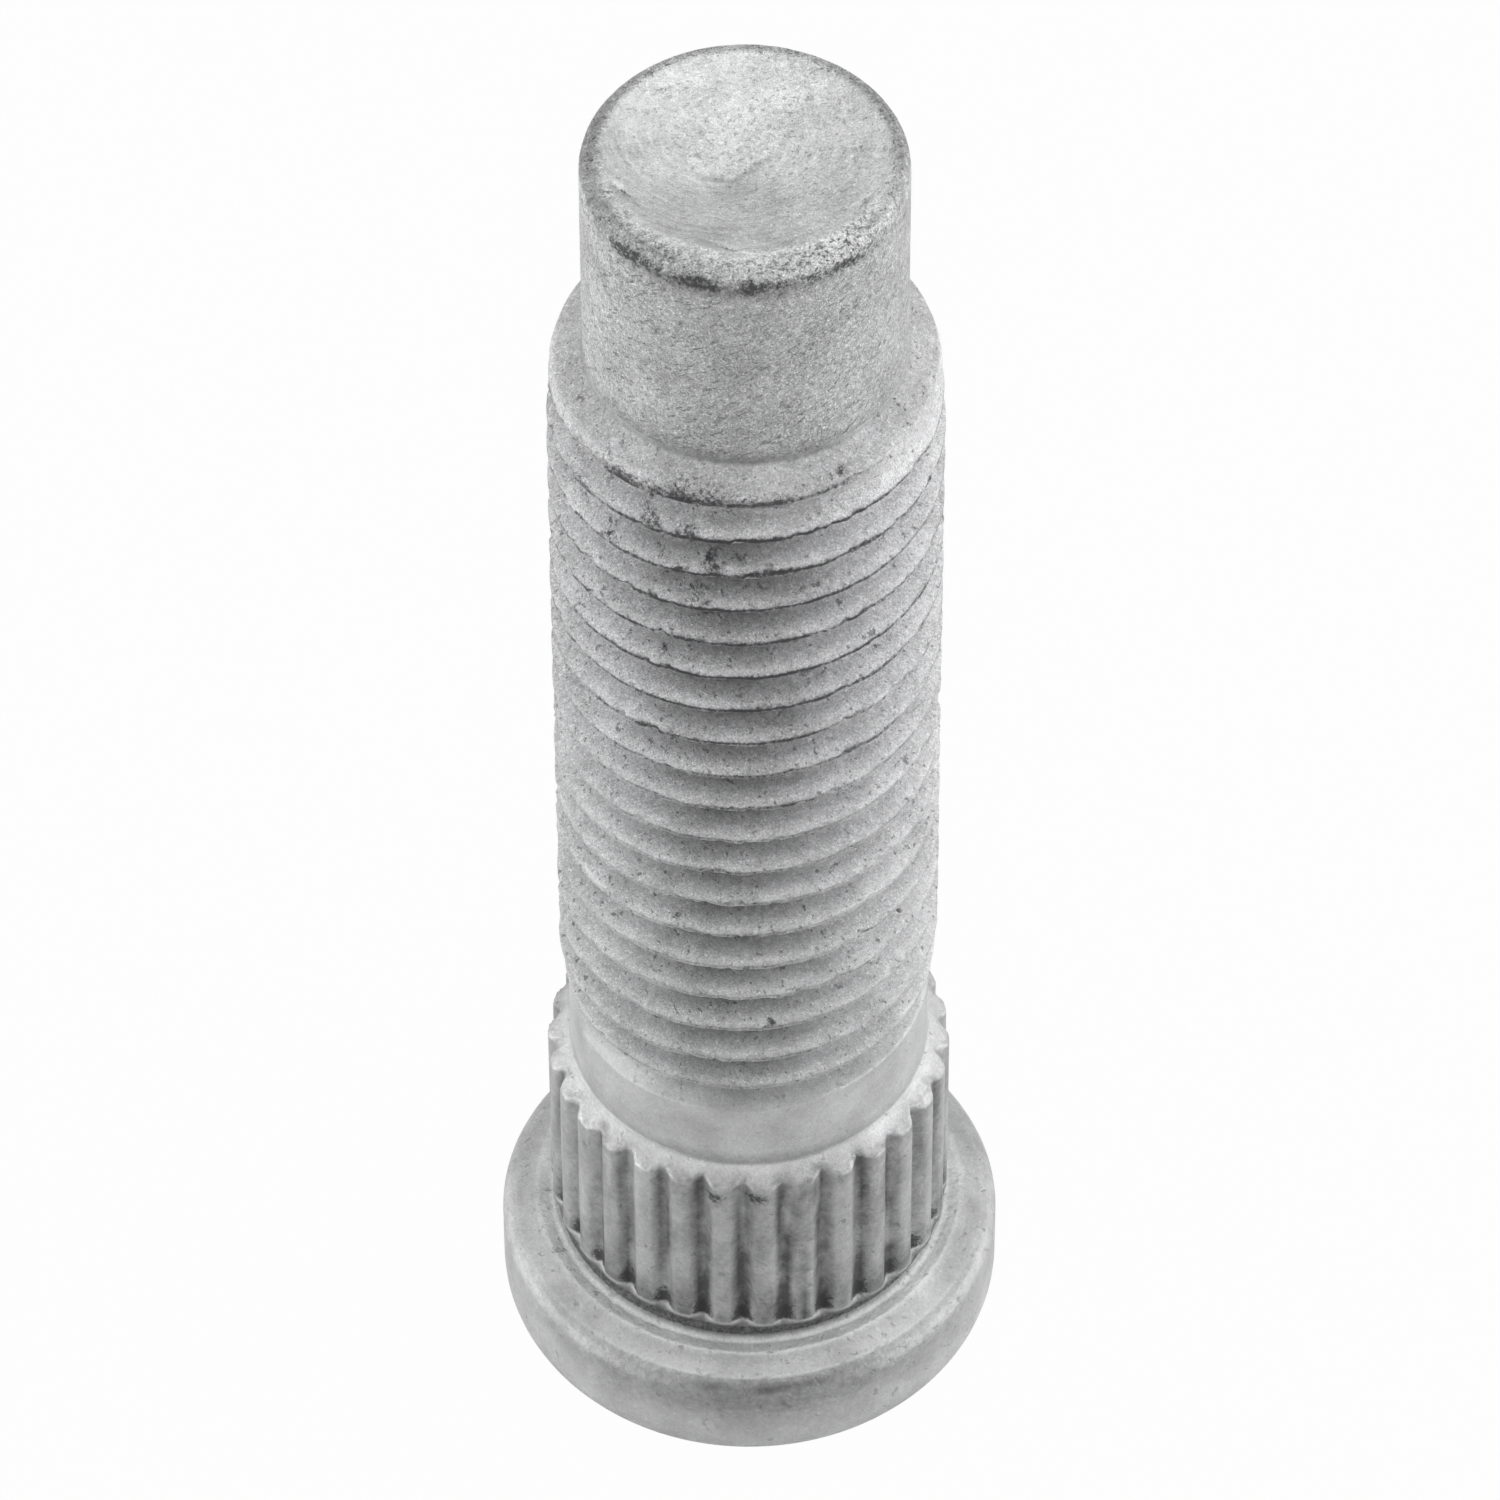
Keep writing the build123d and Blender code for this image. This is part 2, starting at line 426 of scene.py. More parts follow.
class StudMesh:
    """Collects rings of points from the foot up to the dished end, and the faces between them."""

    def __init__(self, form):
        self.form = form
        self.points = []
        self.faces = []
        self.zones = []

    def add_point(self, angle, radius, height):
        self.points.append((radius * math.cos(angle), radius * math.sin(angle), height))
        return len(self.points) - 1

    def ring(self, radius, height):
        """Adds a ring of points. The radius or the height may differ from column to column."""
        angles = self.form.angles
        radii = np.broadcast_to(radius, angles.shape)
        heights = np.broadcast_to(height, angles.shape)
        return [self.add_point(a, r, z) for a, r, z in zip(angles, radii, heights)]

    def face(self, corners, zone):
        kept = list(dict.fromkeys(corners))
        if len(kept) > 2:
            self.faces.append(kept)
            self.zones.append(ZONES.index(zone))

    def bridge(self, lower, upper, zone):
        """Faces between two rings."""
        for a, b, c, d in zip(lower, lower[1:] + lower[:1], upper[1:] + upper[:1], upper):
            self.face((a, b, c, d), zone)

    def stack(self, ring, outline, zone):
        """Rings on top of a ring, one for each radius and height of an outline. Returns the last one."""
        for radius, height in outline:
            upper = self.ring(radius, height)
            self.bridge(ring, upper, zone)
            ring = upper
        return ring

    def disc(self, ring, height, zone, facing_up):
        """Closes a ring with a fan about its middle."""
        middle = self.add_point(0, 0, height)
        for a, b in zip(ring, ring[1:] + ring[:1]):
            self.face((a, b, middle) if facing_up else (b, a, middle), zone)

    def helix(self, ring, top_ring, zone):
        """The thread between two rings, with its rows along the helix, so that its crests run true."""
        form = self.form
        low = self.points[ring[0]][2]
        high = self.points[top_ring[0]][2]
        least_gap = 0.02
        steps = (-0.40, -0.25, -0.105, -0.062, -0.03, 0, 0.03, 0.062, 0.105, 0.25, 0.40, 0.5)
        turns = math.ceil((high - low) / form.thread_pitch) + 2
        first = math.floor((low - form.thread_base) / form.thread_pitch - 0.5) - 1
        rows = [first + turn + step for turn in range(turns + 1) for step in steps]
        grid = []
        for column, angle in enumerate(form.angles):
            z = form.thread_base + form.thread_pitch * (np.array(rows) + 0.5 + angle / math.tau)
            radii = form.thread_radius(angle, z)
            corners = []
            for height, radius in zip(z, radii):
                if height < low + least_gap:
                    corners.append(ring[column])
                elif height > high - least_gap:
                    corners.append(top_ring[column])
                else:
                    corners.append(self.add_point(angle, radius, height))
            grid.append(corners)
        grid.append(grid[0][len(steps):] + [top_ring[0]] * len(steps))
        for left, right in zip(grid, grid[1:]):
            for a, b, c, d in zip(left, right, right[1:], left[1:]):
                self.face((a, b, c, d), zone)


def arc(middle, radius, start, end, steps):
    """Radius and height of points along an arc, its start left out. Angles are in degrees."""
    turns = np.radians(np.linspace(start, end, steps + 1)[1:])
    return [(middle[0] + radius * math.cos(t), middle[1] + radius * math.sin(t)) for t in turns]


def line(start, end, steps):
    """Points along a straight line, its start left out."""
    start, end = np.array(start), np.array(end)
    return [tuple(start + (end - start) * k / steps) for k in range(1, steps + 1)]


def bulge(height, steps):
    """How far a bulge stands out along a line of points, its start left out."""
    return [height * math.sin(math.pi * k / steps) for k in range(1, steps + 1)]


def head_outline(form):
    """From the foot's rim round the head, over the bevel and the apron to the seat and its root."""
    foot_r = form.head_r - form.foot_rounding
    foot = arc((foot_r, form.foot_rounding), form.foot_rounding, -90, 0, 10)
    side = [(form.head_r, z) for z in np.linspace(form.foot_rounding, form.bevel_base, 9)[1:]]
    bevel = line((form.head_r, form.bevel_base), (form.apron_r, form.apron_z), 8)
    crown = bulge(form.bevel_crown, 8)
    bevel = [(min(r + out, form.head_r), z + out) for (r, z), out in zip(bevel, crown)]
    apron = line((form.apron_r, form.apron_z), (form.seat_r, form.seat_z), 10)
    apron = [(r, z - drop) for (r, z), drop in zip(apron, bulge(form.apron_sag, 10))]
    seat = line((form.seat_r, form.seat_z), (form.root_r, form.seat_z), 5)
    root = line((form.root_r, form.seat_z), (form.undercut_r, form.seat_z + form.root_height), 4)
    return foot + side + bevel + apron + seat + root


def neck_rings(form):
    """Heights of the neck's rings, close together where the valleys end and at the chamfer."""
    undercut = np.linspace(form.seat_z + form.root_height + 0.05, form.undercut_top, 6)
    ends = np.linspace(form.undercut_top + 0.04, form.undercut_top + 0.48, 12)
    middle = np.linspace(form.undercut_top + 0.65, form.neck_top - 0.4, 14)
    chamfer = np.linspace(form.neck_top - 0.1, form.shank_base, 13)
    return [*undercut, *ends, *middle, *chamfer]


def shoulder_outline(form):
    """From the rim in over the shoulder, with a small fillet at the foot of the nose."""
    base = (form.nose_r, form.nose_base)
    slope = line((form.rim_r, form.rim_top), base, 8)[:-1]
    fillet = form.nose_fillet
    foot = [(form.nose_r + fillet / 8, form.nose_base + fillet / 4), (form.nose_r, form.nose_base + fillet)]
    return [(form.rim_r, form.rim_top), *slope, *foot]


def build_stud_mesh(form):
    """All rings of the stud, from the foot up to the dished end."""
    mesh = StudMesh(form)
    foot_r = form.head_r - form.foot_rounding
    foot = mesh.ring(0.3 * foot_r, 0)
    mesh.disc(foot, 0, "head", facing_up=False)
    ring = mesh.stack(foot, [(0.6 * foot_r, 0), (0.85 * foot_r, 0), (foot_r, 0)], "head")
    ring = mesh.stack(ring, head_outline(form), "head")
    neck = [(form.neck_radius(form.angles, z), z + form.tilt(form.angles, z)) for z in neck_rings(form)]
    ring = mesh.stack(ring, neck, "head")
    shank = np.linspace(form.shank_base + 0.08, form.shank_top - 0.2, 6)
    ring = mesh.stack(ring, [(form.shank_r, z) for z in shank], "thread")
    top_ring = mesh.ring(form.thread_radius(form.angles, form.lead_top), form.lead_top)
    mesh.helix(ring, top_ring, "thread")
    rim = np.linspace(form.lead_top, form.rim_top, 5)[1:-1]
    ring = mesh.stack(top_ring, [(form.thread_radius(form.angles, z), z) for z in rim], "thread")
    ring = mesh.stack(ring, shoulder_outline(form), "thread")
    side = np.linspace(form.nose_base + form.nose_fillet, form.nose_side_top - 0.6, 15)[1:]
    side = [*side, *np.linspace(form.nose_side_top - 0.5, form.nose_side_top, 6)]
    ring = mesh.stack(ring, [(form.nose_r, z) for z in side], "nose")
    edge = arc((form.lip_r, form.nose_side_top), form.nose_rounding, 0, 90, 12)
    ring = mesh.stack(ring, edge, "nose")
    near_edge = np.linspace(form.lip_r, form.lip_r - 1.2, 15)[1:]
    radii = [*near_edge, *np.linspace(form.lip_r - 1.3, 0.2, 20)]
    dish = [(r, form.dish_height(form.angles, r)) for r in radii]
    ring = mesh.stack(ring, dish, "nose")
    middle = float(form.dish_height(np.array([0.0]), np.array([0.0]))[0])
    mesh.disc(ring, middle, "nose", facing_up=True)
    return mesh


class StudSurface:
    """The points of the new stud: where they lie on its form, how they wear, and masks for its coating and
    for the shade and highlights painted on it.
    """

    def __init__(self, form, points):
        self.form = form
        self.points = points
        self.x, self.y, self.z = points.T
        self.angle = np.arctan2(self.y, self.x)
        self.radius = np.hypot(self.x, self.y)
        self.from_front = (np.degrees(self.angle) - FRONT + 180) % 360 - 180
        self.front = self.facing(0, 48)
        self.level = self.z - form.tilt(self.angle, self.z)
        self.phase = form.thread_phase(self.angle, self.z)
        self.off_crest = np.abs(self.phase)
        runout = (form.shank_top + 0.1, form.shank_top + 0.9)
        self.threaded = plateau(*runout, form.lead_top, form.rim_top, self.z)
        self.off_valley = form.valley(self.angle)[1]
        above_ends = rise(form.undercut_top + 0.2, form.undercut_top + 0.35, self.level)
        self.toothed = above_ends * fall(form.neck_top, form.shank_base, self.z)
        self.on_end = self.z > form.top - form.dish_depth - 0.2
        self.land_edge = form.lip_r - form.land_width(self.angle)
        self.on_tongue = form.tongue(self.x, self.y)
        self.patches = self.grain(1.3, 9)
        self.patchy = 0.75 + 0.6 * self.patches

    def grain(self, size, seed, stretch=(1, 1, 1)):
        """Smooth noise from about -1 to 1 at each point, with bumps of about that size."""
        shift = Vector((seed * 17.3, seed * 5.9, seed * 11.1))
        return np.array([noise.noise(Vector(point) / size + shift) for point in self.points * stretch])

    def facing(self, middle, width):
        """1 on the side that lies some degrees from the front, plus to the right, and less beside it."""
        return hump(middle, width, self.from_front)

    def band(self, height, width, middle=0, spread=48, least=0):
        """A soft band at a height, strongest on one side and never under a least share of that."""
        return hump(height, width, self.z) * (least + (1 - least) * self.facing(middle, spread))

    def nick(self, degrees, height, size):
        """How far each point on the side lies within a nick, from 0 to 1."""
        across = np.radians(self.from_front - degrees) * self.radius
        up = (self.z - height) / 0.6
        return np.where(self.radius > self.form.lip_r, np.exp(-(across**2 + up**2) / size**2), 0)

    def gouge(self, x, y, half_length, half_width, turn):
        """How far each point lies within a gouge of the dished end, from 0 to 1."""
        c, s = math.cos(math.radians(turn)), math.sin(math.radians(turn))
        along = (self.x - x) * c + (self.y - y) * s
        across = (self.y - y) * c - (self.x - x) * s
        return np.exp(-((along / half_length) ** 2) - (across / half_width) ** 2)

    def edge_crumbs(self, depths, coarse, fine):
        """How far the nose's edge has crumbled away, most at the front."""
        form = self.form
        front = np.clip(np.cos(np.radians(0.8 * self.from_front)), 0, 1)
        edge = rise(form.nose_side_top - 0.15, form.top - 0.2, self.z)
        edge = edge * rise(form.lip_r - 0.9, form.lip_r - 0.1, self.radius)
        crumbs = depths["coarse_crumbs"] * np.abs(coarse) + depths["fine_crumbs"] * np.abs(fine)
        return edge * (0.2 + 0.8 * front) * crumbs

    def side_wear(self, depths, coarse, fine):
        """How far waves, nicks, chipped crests and a chipped rim bring the side in."""
        worn = depths["waves"] * (1 + self.grain(2.2, 1))
        for *place, depth in self.form.nicks:
            worn = worn + depth * self.nick(*place)
        chips = np.clip(coarse + 0.6 * fine, 0, 1) * rise(-0.3, 0.3, self.grain(2.2, 6))
        chips = depths["chips"] * chips + depths["dulling"] * (1 + self.grain(0.9, 7))
        worn = worn + self.threaded * fall(0.06, 0.17, self.off_crest) * chips
        rim = hump(self.form.lead_top + 0.12, 0.25, self.z) * (self.radius > self.form.rim_r - 0.3)
        return worn + rim * depths["rim_chips"] * np.abs(coarse)

    def dish_ripple(self, depths):
        """How far the dish sinks in ripples, swells and gouges. Its middle stays."""
        ripple = depths["ripple"] * (1 + self.grain(0.5, 4, stretch=(1, 0.35, 1)))
        ripple = ripple + depths["swell"] * (1 + self.grain(1.6, 5))
        for *place, depth in self.form.gouges:
            ripple = ripple + depth * self.gouge(*place)
        return ripple * rise(0, 1, self.radius)

    def worn(self, wear):
        """The points with nicks, chipped crests, a crumbled front edge and a rough, gouged dish."""
        depths = {name: getattr(wear, name) / MM for name in StudWear.__annotations__}
        coarse, fine = self.grain(0.42, 2), self.grain(0.19, 3)
        crumbs = self.edge_crumbs(depths, coarse, fine)
        on_dish = (self.z > self.form.nose_side_top - 0.2) * (self.radius < self.form.lip_r + 0.2)
        inward = np.where(on_dish, 0, self.side_wear(depths, coarse, fine) + crumbs)
        scale = 1 - rise(0, 1.2, self.z) * inward / np.maximum(self.radius, 0.5)
        wander = self.threaded * fall(0.1, 0.35, self.off_crest)
        lifted = wander * depths["wander"] * self.grain(0.55, 8) - on_dish * self.dish_ripple(depths) - crumbs
        return np.column_stack([self.x * scale, self.y * scale, self.z + lifted])

    def crest_lines(self):
        """The dark line along the thread's crests: grime with painted shade under each crest, darkest near
        the nose and on the side that faces the front.
        """
        sharp = 0.55 + 0.45 * rise(22, 36, self.z)
        dark = hump(-0.005, 0.068, self.phase) * sharp * (0.5 + 0.5 * self.front)
        return self.threaded * dark * (0.85 + 0.4 * self.patches)

    def neck_foot(self, start, falling, end):
        """The neck's foot, from a height above the seat up to heights around the undercut's top."""
        form = self.form
        foot = (self.radius < form.neck_r + 0.02) * (self.radius > form.undercut_r - 0.1)
        foot = foot * rise(form.seat_z + start, form.seat_z + 0.2, self.z)
        return foot * fall(form.undercut_top + falling, form.undercut_top + end, self.level)

    def dirt(self):
        """Black grime with ragged edges, and painted shade in the teeth's pockets, in the undercut and under
        the thread's crests.
        """
        form = self.form
        blotch = np.clip(2.6 * self.grain(0.75, 21), 0, 1)
        # Painted shade in the deep pockets at the valleys' lower ends
        pocket = hump(form.undercut_top + 0.55, 0.5, self.level) * np.clip(1.3 - self.off_valley, 0, 1)
        fouled = 0.1 + 0.9 * plateau(-80, -45, 30, 70, self.from_front)
        edge = hump(form.nose_side_top + 0.02 + 0.14 * self.grain(0.9, 10), 0.24, self.z)
        edge = edge * (self.radius > form.lip_r - 0.1) * fouled * (0.66 + 0.55 * self.grain(0.6, 11))
        rim = self.band(form.lead_top - 0.15, 0.55, -20, 42, least=0.15)
        nicks = [self.nick(*place) for *place, depth in form.nicks]
        gouges = [self.gouge(*place) for *place, depth in form.gouges]
        return strongest(
            crests=(0.55 + 0.4 * rise(27, 37, self.z)) * self.crest_lines(),
            smudges=0.85 * self.threaded * blotch * self.band(form.thread_top - 0.4, 2.0, -26, 36),
            pockets=0.95 * self.toothed * pocket,
            # Painted shade in the undercut below the teeth
            undercut=0.42 * self.neck_foot(0.06, -0.05, 0.12),
            front_edge=np.minimum(edge, 0.64),
            rim=rim * (0.70 + 0.6 * self.grain(0.8, 12)),
            nicks=0.85 * np.maximum.reduce(nicks),
            gouges=0.5 * self.on_end * np.maximum.reduce(gouges),
        )

    def filmy_teeth(self):
        """Painted shade with a grey layer on the teeth, streaked along them, darker on the front, in the
        valleys and at their lower ends.
        """
        form = self.form
        low = fall(form.undercut_top + 0.3, form.undercut_top + 2.5, self.level)
        valley = fall(0.45, 1.05, self.off_valley)
        streaks = 1 + 0.9 * self.grain(0.3, 13, stretch=(1, 1, 0.12)) + 0.5 * self.grain(0.5, 16)
        tooth = form.valley(self.angle + math.pi / form.tooth_count)[0]
        film = 0.36 + 0.10 * np.sin(3.7 * tooth) + 0.36 * valley + 0.28 * low
        return self.toothed * (0.68 + 0.32 * self.facing(5, 55)) * streaks * film

    def film(self):
        """Painted shade in the thread's roots, under edges and on the side that faces the front, with a soft
        grey layer of oil and dust on the bevel, the apron and below the rim.
        """
        form, z, radius = self.form, self.z, self.radius
        aside = np.abs(self.from_front)
        # Painted shade in the thread's roots, deepest just under each crest and on the side that faces the
        # front
        root = rise(0.19, 0.345, self.off_crest) * (0.05 + 0.92 * self.facing(-7, 36))
        root = root * (1 - 0.6 * rise(form.thread_top - 0.9, form.thread_top + 1, z))
        # Painted shade on the crests' flats, on the left and on the front of the lower turns
        blunt = 0.12 * plateau(20, 60, 110, 150, -self.from_front)
        blunt = blunt + 0.42 * self.front * fall(24, 38, z)
        shoulder = hump(form.rim_top + 0.2, 0.5, z) * (radius > form.nose_r + 0.1)
        on_head = radius > form.apron_r
        apron = plateau(form.seat_r - 0.05, form.seat_r + 0.15, form.apron_r - 0.12, form.apron_r, radius)
        nose = rise(form.nose_base, form.nose_base + 0.3, z) * (z < form.nose_side_top)
        # Painted shadow along the edge of the dish's tongue
        tongue_edge = hump(0.07, 0.10, form.off_tongue(self.x, self.y)) * hump(-0.3, 1.2, self.x)
        # Painted shadow where the shank meets the neck's chamfer
        shank_edge = self.band(form.shank_base + 0.04, 0.07, least=0.3) * (radius < form.shank_r + 0.05)
        # Painted shade at the foot of the nose
        nose_foot = self.band(form.nose_base + 0.02, 0.24, least=0.4) * (radius < form.nose_r + 0.06)
        # Painted shade on the rounding of the nose's edge, on the left and right
        rounding = rise(form.lip_r - 0.15, form.lip_r + 0.1, radius)
        rounding = rounding * rise(form.nose_side_top + 0.05, form.nose_side_top + 0.2, z)
        rounding = rounding * (1 - 0.85 * self.facing(25, 62))
        return strongest(
            roots=self.threaded * root,
            crests=0.85 * self.crest_lines(),
            blunt_crests=self.threaded * hump(0, 0.06, self.off_crest) * blunt,
            shoulder=(0.19 - 0.01 * rise(35, 75, aside)) * shoulder,
            teeth=self.filmy_teeth(),
            # Painted shade in the undercut at the foot of the neck
            neck_foot=0.85 * self.neck_foot(0.02, 0.1, 0.3),
            shank_edge=0.55 * shank_edge,
            lead=0.6 * self.band(form.lead_top - 0.35, 0.55, -18, 42),
            # Painted shade below the nose's edge
            under_edge=0.5 * self.band(form.nose_side_top - 0.15, 0.35, -8) * (radius > form.lip_r),
            oily_bevel=0.85 * self.band(form.apron_z - 0.25, 0.25, 4, 30) * on_head * self.patchy,
            # Painted shade with oil on the head's side, most on the front
            head_side=0.56 * self.band(form.bevel_base - 0.1, 1.1, 4, least=0.16) * on_head,
            apron=0.12 * apron * hump(form.seat_z - 0.2, 0.4, z),
            nose_foot=0.62 * nose_foot,
            # Painted shade on the nose's side, on the front and on the right
            nose_side=nose * (0.10 * self.facing(-6, 38) + 0.16 * self.facing(65, 25)),
            tongue_edge=0.6 * tongue_edge * self.on_end,
            # Painted shade on the nose's rounding
            nose_rounding=(0.5 - 0.25 * rise(105, 150, aside)) * rounding,
        )

    def rubbed(self):
        """Coating worn bright, with painted highlights on the neck's chamfer, the apron's edge, the valleys'
        lower ends, the land's right, the dish's tongue and the thread's crest edges.
        """
        form, z, radius = self.form, self.z, self.radius
        seat = hump(form.seat_z + 0.03, 0.1, z) * (radius > form.undercut_r)
        teeth = rise(form.tooth_base, form.tooth_base + 0.3, self.level)
        teeth = teeth * fall(form.neck_top - 0.3, form.neck_top, z)
        # Painted highlight on the valleys' lower ends, where their ramps face up
        valley_end = hump(form.undercut_top + 0.13, 0.09, self.level) * np.clip(1.1 - self.off_valley, 0, 1)
        # Painted light on the neck's chamfer, which lies under the thread
        chamfer = rise(form.neck_top - 0.05, form.neck_top + 0.1, z)
        chamfer = chamfer * fall(form.shank_base - 0.1, form.shank_base, z)
        land = rise(self.land_edge - 0.1, self.land_edge + 0.15, radius) * (z > form.top - 0.3)
        ridge = hump(self.land_edge + 0.05, 0.07, radius) * self.facing(-10, 45)
        # Painted highlight along each crest's upper edge, most on the front, and over the crests on the right
        crest_edge = hump(0.12, 0.05, self.phase) * (0.2 + 0.8 * self.front)
        right = plateau(20, 60, 100, 140, self.from_front)
        return strongest(
            seat=0.5 * seat * fall(form.seat_r, form.seat_r + 0.2, radius),
            # Painted highlight along the apron's outer edge
            apron_edge=0.1 * hump(form.apron_r, 0.1, radius) * hump(form.apron_z, 0.12, z),
            tooth_edges=0.12 * teeth * hump(1.3, 0.3, self.off_valley),
            valley_ends=0.15 * valley_end,
            neck_chamfer=0.8 * chamfer,
            # The land is worn bright, with a painted highlight on its right
            land=land * (0.45 * self.facing(0, 75) + 0.5 * self.facing(50, 28)),
            land_ridge=0.6 * ridge * self.on_end * (0.7 + 0.8 * self.grain(0.9, 14)),
            # The dish is a little worn bright, with a painted highlight on its tongue
            dish=(0.12 + 0.28 * self.on_tongue) * self.on_end,
            crest_edges=0.4 * self.threaded * (crest_edge + 0.9 * right) * self.patchy,
        )

    def pale(self):
        """Where the rolled thread's coating is paler and grainier than the plain one, most near the nose."""
        form = self.form
        rolled = rise(form.shank_top - 0.1, form.shank_top + 0.9, self.level)
        rolled = rolled * fall(form.nose_base - 0.1, form.nose_base + 0.1, self.z)
        return rolled * (0.65 + 0.35 * rise(18, 34, self.z))

    def crumbly(self):
        """The land in front of the dish and the nose's front edge, where the coating crumbles."""
        land = rise(self.form.lip_r - 0.7, self.form.lip_r - 0.1, self.radius)
        near_edge = rise(self.form.nose_side_top - 0.5, self.form.nose_side_top, self.z)
        return land * near_edge * (0.45 * self.facing(0, 60) + 0.55 * self.facing(36, 20))

    def swept(self):
        """Where tool marks sweep around the dish: all over it, less on the right and on its tongue."""
        dished = fall(self.land_edge - 0.1, self.form.lip_r, self.radius)
        left = 1 - 0.25 * rise(-1.0, 1.5, self.x)
        return dished * self.on_end * left * (1 - 0.15 * self.on_tongue)


def add_object(name, data):
    """A new object in the scene."""
    made = bpy.data.objects.new(name, data)
    bpy.context.scene.collection.objects.link(made)
    return made


def new_material(name):
    """A new material, with its node tree and its shader."""
    material = bpy.data.materials.new(name)
    material.use_nodes = True
    return material, material.node_tree, material.node_tree.nodes["Principled BSDF"]


def feed(tree, target, sockets):
    """Gives a node's sockets values, or other nodes' outputs to follow."""
    for key, value in sockets.items():
        if isinstance(value, bpy.types.NodeSocket):
            tree.links.new(value, target.inputs[key])
        else:
            target.inputs[key].default_value = value


def node(tree, kind, sockets=None, **settings):
    """Adds a shader node with its settings and sockets."""
    made = tree.nodes.new(kind)
    for name, value in settings.items():
        setattr(made, name, value)
    feed(tree, made, sockets or {})
    return made


def maths(tree, operation, first, second=0.0):
    """One step of arithmetic on values."""
    return node(tree, "ShaderNodeMath", {0: first, 1: second}, operation=operation).outputs[0]


def plus(tree, first, second):
    """Two values added."""
    return maths(tree, "ADD", first, second)


def times(tree, first, second):
    """Two values multiplied."""
    return maths(tree, "MULTIPLY", first, second)


def weighted(tree, start, *terms):
    """A value plus others, each with its weight."""
    for value, weight in terms:
        start = plus(tree, start, times(tree, value, weight))
    return start


def vector_maths(tree, operation, first, second):
    """One step of arithmetic on vectors."""
    return node(tree, "ShaderNodeVectorMath", {0: first, 1: second}, operation=operation).outputs[0]


def remap(tree, value, low, high, to_low=0.0, to_high=1.0):
    """A value moved from one range to another, held inside it."""
    sockets = {"Value": value, "From Min": low, "From Max": high, "To Min": to_low, "To Max": to_high}
    return node(tree, "ShaderNodeMapRange", sockets, clamp=True).outputs["Result"]


def mix_colour(tree, factor, first, second, blend="MIX"):
    """Two colours mixed by a factor."""
    sockets = {"Factor": factor, 6: first, 7: second}
    return node(tree, "ShaderNodeMix", sockets, data_type="RGBA", blend_type=blend).outputs[2]


def mix_value(tree, factor, first, second):
    """Two values mixed by a factor."""
    return node(tree, "ShaderNodeMix", {0: factor, 2: first, 3: second}, data_type="FLOAT").outputs[0]


def object_place(tree):
    """Places in the stud's own frame."""
    return node(tree, "ShaderNodeTexCoord").outputs["Object"]


def soft_noise(tree, place, scale, detail=3.0, roughness=0.5):
    """Noise around 0.5."""
    sockets = {"Vector": place, "Scale": scale, "Detail": detail, "Roughness": roughness}
    return node(tree, "ShaderNodeTexNoise", sockets).outputs["Fac"]


def new_group(name, inputs, outputs):
    """An empty node group with plain value sockets. Returns its tree, its inputs and its output node."""
    tree = bpy.data.node_groups.new(name, "ShaderNodeTree")
    for socket, default in inputs.items():
        made = tree.interface.new_socket(socket, in_out="INPUT", socket_type="NodeSocketFloat")
        made.default_value = default
    for socket in outputs:
        tree.interface.new_socket(socket, in_out="OUTPUT", socket_type="NodeSocketFloat")
    return tree, node(tree, "NodeGroupInput").outputs, node(tree, "NodeGroupOutput")


def place_group(tree, group, sockets=None):
    """Puts a node group into a material with its own values. Returns its outputs."""
    return node(tree, "ShaderNodeGroup", sockets, node_tree=group).outputs


def helical(tree, place, twist, stretch):
    """Places turned about the axis as they rise and drawn out along it, so that a texture follows a helix."""
    height = node(tree, "ShaderNodeSeparateXYZ", {"Vector": place}).outputs["Z"]
    sockets = {"Vector": place, "Angle": times(tree, height, twist)}
    twisted = node(tree, "ShaderNodeVectorRotate", sockets, rotation_type="Z_AXIS").outputs[0]
    spread = node(tree, "ShaderNodeCombineXYZ", {"X": 1.0, "Y": 1.0, "Z": stretch}).outputs[0]
    return vector_maths(tree, "MULTIPLY", twisted, spread)


def flake_grain_group():
    """Grain of the metal-flake coating: its height in millimetres, and its light and dark tone."""
    sockets = {"Scale": 11000.0, "Contrast": 1.0, "Depth": 0.02, "Lumps": 0.04}
    tree, given, result = new_group("Flake grain", sockets, ("Height", "Tone"))
    place = object_place(tree)
    fine = soft_noise(tree, place, given["Scale"], roughness=0.8)
    soft = soft_noise(tree, place, times(tree, given["Scale"], 0.3), roughness=0.6)
    cells = node(tree, "ShaderNodeTexVoronoi", {"Vector": place, "Scale": given["Scale"]})
    pick = node(tree, "ShaderNodeSeparateColor", {"Color": cells.outputs["Color"]}).outputs["Red"]
    height = weighted(tree, times(tree, fine, given["Depth"]), (soft, given["Lumps"]))
    mixed = maths(tree, "SUBTRACT", mix_value(tree, 0.3, fine, soft), 0.5)
    flakes = times(tree, remap(tree, pick, 0.85, 1.0), 0.12)
    tone = times(tree, plus(tree, mixed, flakes), given["Contrast"])
    feed(tree, result, {"Height": height, "Tone": tone})
    return tree


def speck_group():
    """Specks and scratches, drawn out along a helix around the axis."""
    sockets = {"Scale": 5000.0, "Stretch": 0.4, "Twist": 200.0, "Level": 0.68}
    tree, given, result = new_group("Specks", sockets, ("Mask",))
    drawn = helical(tree, object_place(tree), given["Twist"], given["Stretch"])
    above = maths(tree, "SUBTRACT", soft_noise(tree, drawn, given["Scale"], detail=2.0), given["Level"])
    feed(tree, result, {"Mask": remap(tree, above, 0.0, 0.06)})
    return tree


